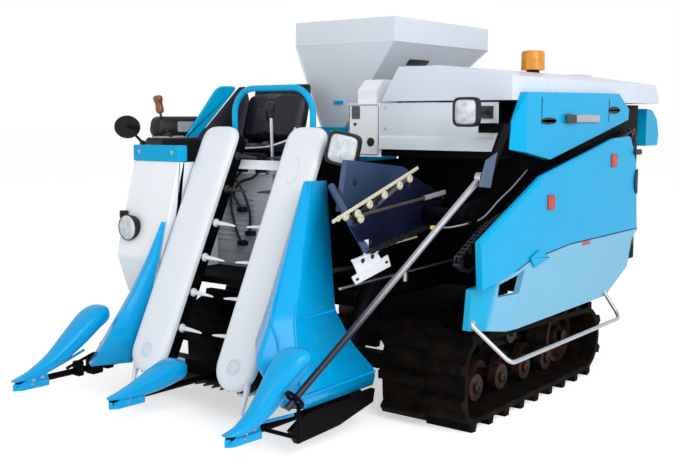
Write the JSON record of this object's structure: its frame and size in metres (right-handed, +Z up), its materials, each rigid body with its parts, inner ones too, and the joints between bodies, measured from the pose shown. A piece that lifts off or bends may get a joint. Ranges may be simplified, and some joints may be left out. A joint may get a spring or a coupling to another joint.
{
  "type": "rice harvester",
  "caption": "Small rice harvester on rubber tracks with leaning pick-up cases, crop dividers, side feed chain, grain hopper and lifting header.",
  "frame": {"origin": "centre of the bounding box's base, on the ground between the tracks", "axes": "+X forward towards the header, +Y to the machine's left, the feed chain's side, +Z up"},
  "size_m": [3.29, 1.93, 1.7461],
  "materials": {
    "blue_paint": "gloss",
    "white_paint": "gloss",
    "pale_paint": "satin",
    "light_blue_paint": "satin",
    "slate_paint": "satin",
    "indigo_paint": "satin",
    "black_paint": "satin",
    "dark_steel": "satin",
    "bright_steel": "satin",
    "track_rubber": "matt",
    "wheel_iron": "satin",
    "engine_iron": "satin",
    "amber_plastic": "gloss",
    "red_plastic": "gloss",
    "white_plastic": "gloss",
    "dark_plastic": "matt",
    "seat_vinyl": "satin",
    "lamp_white": "gloss"
  },
  "bodies": {
    "machine": {"track_left": "track_rubber", "track_right": "track_rubber", "track_wheels": "wheel_iron", "track_beams": "black_paint", "chassis": "black_paint", "thresher_body": "black_paint", "thresher_front": "pale_paint", "control_box": "white_paint", "hinge_pins": "dark_steel", "panel_post": "dark_steel", "feed_chain": "dark_steel", "feed_chain_rail": "black_paint", "straw_outlet": "black_paint", "grain_tank": "pale_paint", "tank_outlet": "blue_paint", "decks": "black_paint", "bag_rail": "dark_steel", "front_wall_panel": "white_paint", "front_strip": "blue_paint", "console": "dark_plastic", "headlamp": "lamp_white", "mirror": "dark_plastic", "seat": "seat_vinyl", "engine_hood": "pale_paint", "engine": "engine_iron", "side_guard": "blue_paint", "control_levers": "dark_steel", "pivot_ears": "black_paint", "work_lamp_right": "dark_plastic", "pole_bracket": "black_paint"},
    "header": {"header_frame": "black_paint", "case_carriers": "white_paint", "pickup_cases": "white_plastic", "pickup_tines": "white_plastic", "arch_guard": "blue_paint", "crop_dividers": "blue_paint", "knife": "dark_steel", "left_header_cover": "blue_paint", "right_header_cover": "blue_paint", "upper_conveyor_plate": "slate_paint", "lower_conveyor_plate": "indigo_paint", "star_wheels": "white_plastic", "work_lamp_left": "dark_plastic"},
    "side_pole": {"side_pole": "bright_steel"},
    "lift_barrel": {"lift_barrel": "black_paint"},
    "lift_rod": {"lift_rod": "bright_steel"},
    "drum_cover": {"drum_cover": "pale_paint", "upper_side_cover": "blue_paint", "beacon": "amber_plastic"},
    "side_cover": {"lower_side_panel": "blue_paint", "side_skirt": "light_blue_paint", "reflectors": "red_plastic", "panel_hinge": "dark_steel", "guard_rod": "bright_steel"},
    "straw_hood": {"straw_hood": "blue_paint"}
  },
  "joints": [
    {"name": "header_lift", "type": "hinge", "parent": "machine", "child": "header", "pos_m": [0.48, 0.34, 0.86], "axis": [0, -1, 0], "range_deg": [-3, 15]},
    {"name": "side_pole_hinge", "type": "hinge", "parent": "machine", "child": "side_pole", "pos_m": [0.53, 0.75, 1.024], "axis": [0, -1, 0], "range_deg": [-3, 15]},
    {"name": "lift_barrel_hinge", "type": "hinge", "parent": "machine", "child": "lift_barrel", "pos_m": [0.4, -0.18, 0.36], "axis": [0, -1, 0], "range_deg": [-3, 14]},
    {"name": "lift_rod_slide", "type": "slide", "parent": "lift_barrel", "child": "lift_rod", "axis": [0.993, 0, -0.118], "range_m": [-0.028, 0.132]},
    {"name": "drum_cover_hinge", "type": "hinge", "parent": "machine", "child": "drum_cover", "pos_m": [-0.5, 0.096, 1.347], "axis": [1, 0, 0], "range_deg": [0, 55]},
    {"name": "side_cover_hinge", "type": "hinge", "parent": "machine", "child": "side_cover", "pos_m": [-0.925, 0.812, 0.8], "axis": [0, 0, 1], "range_deg": [0, 100]},
    {"name": "straw_hood_hinge", "type": "hinge", "parent": "machine", "child": "straw_hood", "pos_m": [-1.436, 0.44, 1.306], "axis": [0, 1, 0], "range_deg": [0, 50]}
  ],
  "couplings": [
    {"joint": "side_pole_hinge", "follows": "header_lift", "ratio": 0.957},
    {"joint": "lift_barrel_hinge", "follows": "header_lift", "ratio": 0.875},
    {"joint": "lift_rod_slide", "follows": "header_lift", "m_per_rad": 0.4988}
  ]
}
